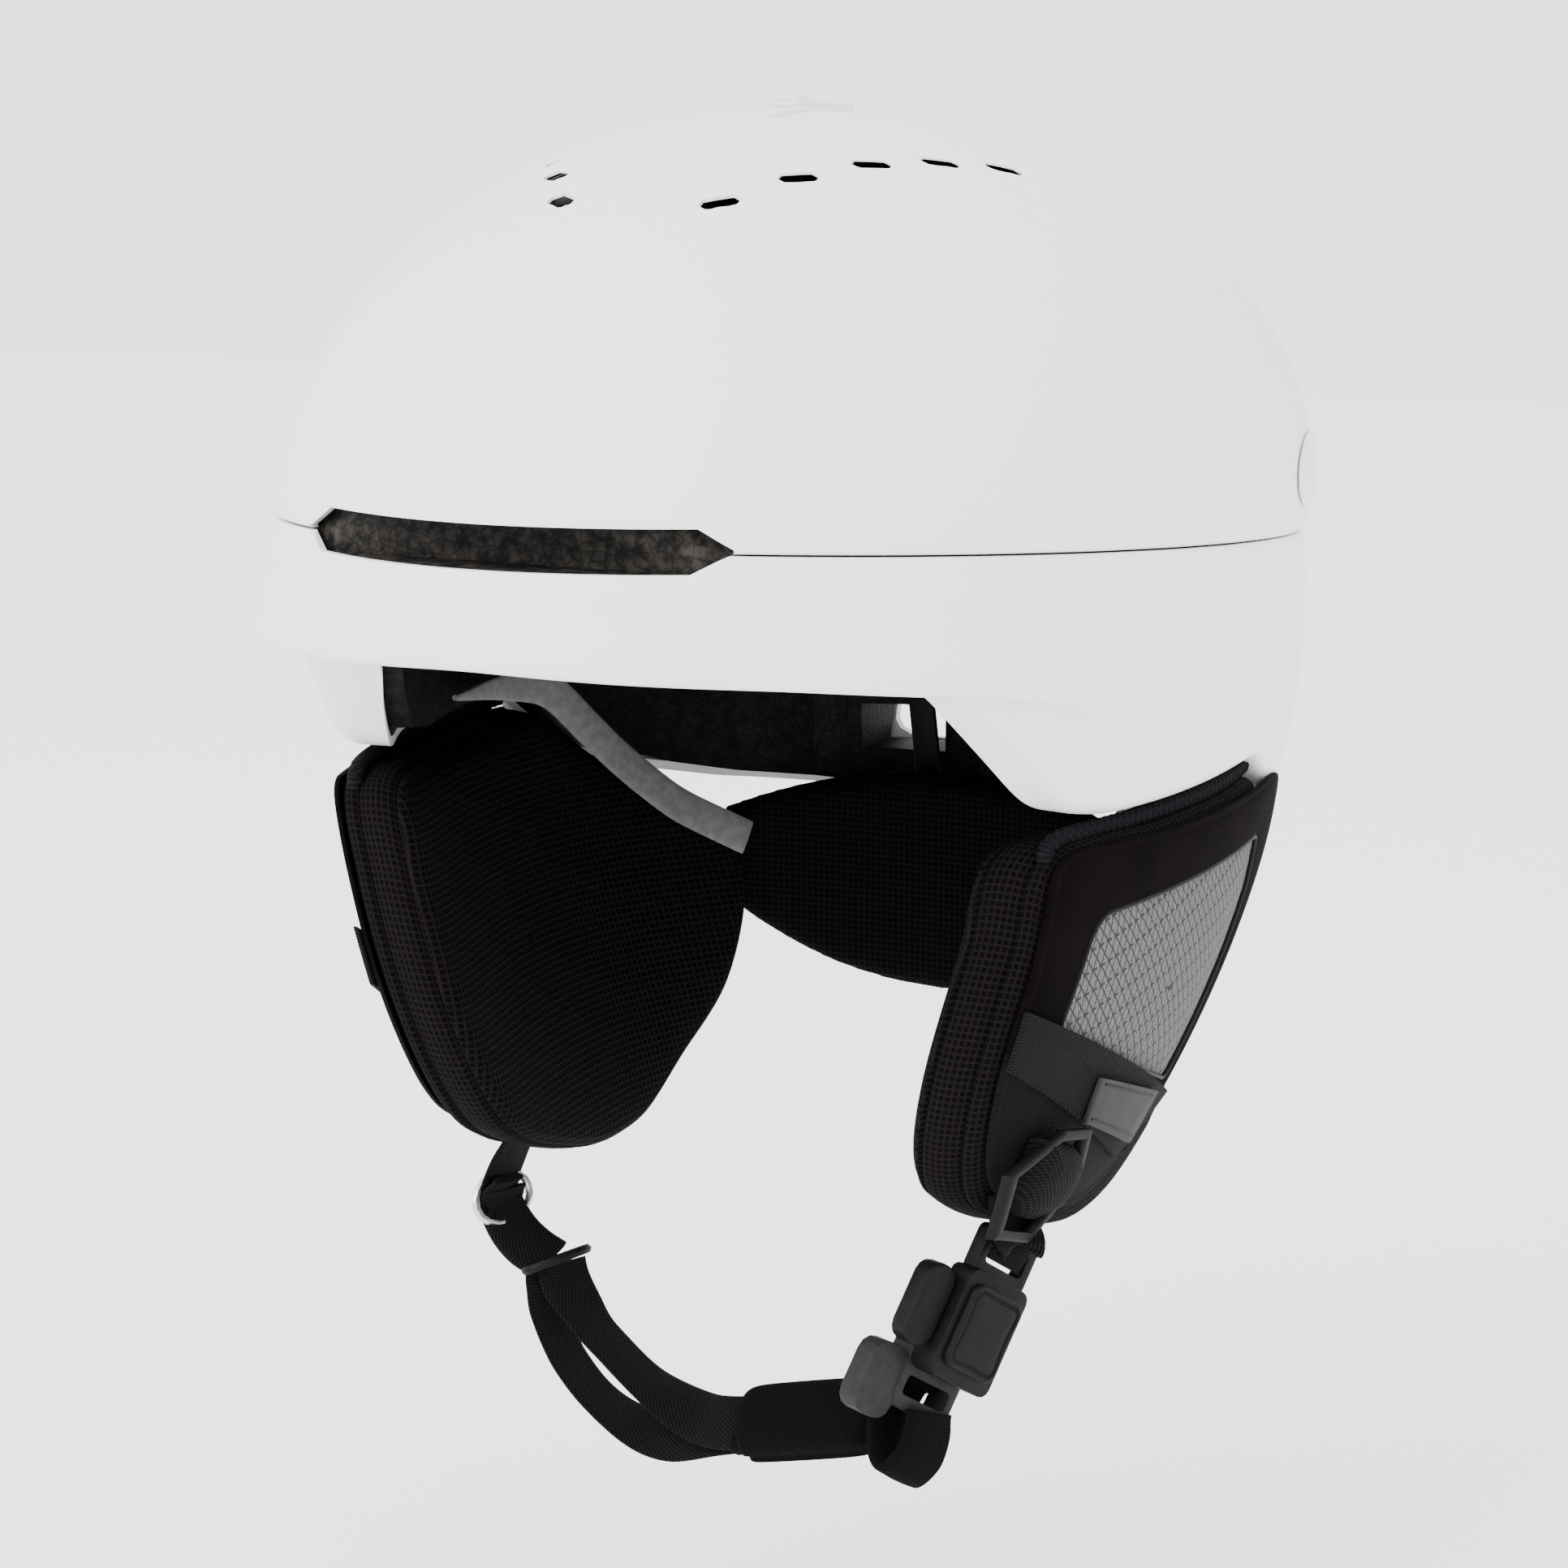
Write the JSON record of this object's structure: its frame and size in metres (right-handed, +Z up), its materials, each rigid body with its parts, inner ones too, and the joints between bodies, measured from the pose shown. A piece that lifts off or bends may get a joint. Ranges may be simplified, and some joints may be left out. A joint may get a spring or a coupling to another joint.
{
  "type": "ski helmet",
  "caption": "Ski helmet with a short brim, soft ear pads, chin strap with side buckle, sliding top vents and a dial fit system.",
  "frame": {"origin": "on the middle plane, inside the head space, level with the lower corners of the brim", "axes": "+Z up towards the crown, -Y towards the brim, +X towards the wearer's left (the buckle side)"},
  "size_m": [0.228, 0.2914, 0.3156],
  "materials": {
    "shell_white": "smooth satin white",
    "tonal_white": "slightly glossier off-white",
    "bead_foam": "moulded black bead foam",
    "knit": "black waffle knit over soft foam",
    "cover_suede": "brown-black laminated fabric with a short nap",
    "mesh": "grey sound-open mesh with a printed lattice",
    "webbing": "ribbed black nylon webbing",
    "label_rubber": "plain grey rubber patch",
    "grey_plastic": "fine-grained grey plastic",
    "dark_plastic": "fine-grained charcoal plastic",
    "steel": "plain steel"
  },
  "bodies": {
    "helmet": {"upper_shell": "shell_white", "lower_shell": "shell_white", "eps_liner": "bead_foam", "slip_liner": "grey_plastic", "crown_pad": "knit", "brow_pad": "knit", "side_pad_left": "knit", "side_pad_right": "knit", "fit_band": "grey_plastic", "strap_anchor_left": "dark_plastic", "strap_anchor_right": "dark_plastic", "badge_left": "tonal_white", "badge_right": "tonal_white", "vent_track": "tonal_white", "goggle_clip_base": "dark_plastic", "goggle_clip_pin": "steel"},
    "vent": {"vent_slider": "shell_white", "vent_shutter": "dark_plastic"},
    "cradle_hanger": {"cradle_rail": "dark_plastic"},
    "cradle": {"rear_cradle": "grey_plastic", "neck_pad": "knit", "dial_housing": "dark_plastic", "band_arm_left": "grey_plastic", "band_arm_right": "grey_plastic"},
    "dial": {"dial_knob": "dark_plastic", "dial_shaft": "steel"},
    "goggle_clip": {"goggle_hook": "dark_plastic"},
    "ear_left": {"ear_pad_left": "knit", "ear_cover_left": "cover_suede", "ear_mesh_left": "mesh", "ear_collar_left": "webbing", "ear_band_left": "webbing", "ear_label_left": "label_rubber", "strap_divider_left": "dark_plastic", "strap_upper_left": "webbing"},
    "ear_right": {"ear_pad_right": "knit", "ear_cover_right": "cover_suede", "ear_mesh_right": "mesh", "ear_collar_right": "webbing", "ear_band_right": "webbing", "ear_label_right": "label_rubber", "strap_upper_right": "webbing"},
    "buckle": {"strap_lower_left": "webbing", "buckle_receiver": "dark_plastic", "buckle_plate": "dark_plastic", "receiver_magnet": "steel"},
    "release": {"release_tab": "dark_plastic"},
    "right_link": {"d_ring_right": "steel", "strap_link_right": "webbing"},
    "chin": {"ring_keeper": "dark_plastic", "chin_web_lower": "webbing", "chin_web_upper": "webbing", "buckle_tongue": "grey_plastic", "tongue_magnet": "steel", "strap_tail": "webbing"},
    "chin_sleeve": {"chin_pad": "knit"}
  },
  "joints": [
    {"name": "vent_slide", "type": "hinge", "parent": "helmet", "child": "vent", "pos_m": [0, 0, -0.035], "axis": [1, 0, 0], "range_deg": [0, 4]},
    {"name": "cradle_height", "type": "slide", "parent": "helmet", "child": "cradle_hanger", "axis": [0, 0, 1], "range_m": [-0.0035, 0.005]},
    {"name": "cradle_tighten", "type": "slide", "parent": "cradle_hanger", "child": "cradle", "axis": [0, -1, 0], "range_m": [0, 0.0072]},
    {"name": "dial_turn", "type": "hinge", "parent": "cradle", "child": "dial", "pos_m": [0, 0.107, -0.087], "axis": [0, 1, 0], "range_deg": [0, 540]},
    {"name": "goggle_hook_open", "type": "hinge", "parent": "helmet", "child": "goggle_clip", "pos_m": [0, 0.142, -0.003], "axis": [1, 0, 0], "range_deg": [0, 60]},
    {"name": "ear_flex_left", "type": "hinge", "parent": "helmet", "child": "ear_left", "pos_m": [0.098, 0, -0.029], "axis": [0, -1, 0], "range_deg": [0, 9]},
    {"name": "ear_flex_right", "type": "hinge", "parent": "helmet", "child": "ear_right", "pos_m": [-0.098, 0, -0.029], "axis": [0, 1, 0], "range_deg": [0, 9]},
    {"name": "buckle_swing", "type": "hinge", "parent": "ear_left", "child": "buckle", "pos_m": [0.0736, -0.03, -0.1276], "axis": [0, -1, 0], "range_deg": [0, 6]},
    {"name": "tab_pull", "type": "slide", "parent": "buckle", "child": "release", "axis": [-0.3468, -0.7667, 0.5403], "range_m": [0, 0.003], "stiffness_N_per_m": 300},
    {"name": "link_swing", "type": "hinge", "parent": "ear_right", "child": "right_link", "pos_m": [-0.0664, -0.0235, -0.1324], "axis": [0, 1, 0], "range_deg": [0, 25]},
    {"name": "chin_swing", "type": "hinge", "parent": "right_link", "child": "chin", "pos_m": [-0.0506, -0.0256, -0.1524], "axis": [0, 1, 0], "range_deg": [0, 4]},
    {"name": "sleeve_slide", "type": "slide", "parent": "chin", "child": "chin_sleeve", "axis": [0.969, -0.0273, 0.2456], "range_m": [-0.003, 0.003]}
  ],
  "couplings": [
    {"joint": "cradle_tighten", "follows": "dial_turn", "m_per_rad": 0.00074}
  ]
}
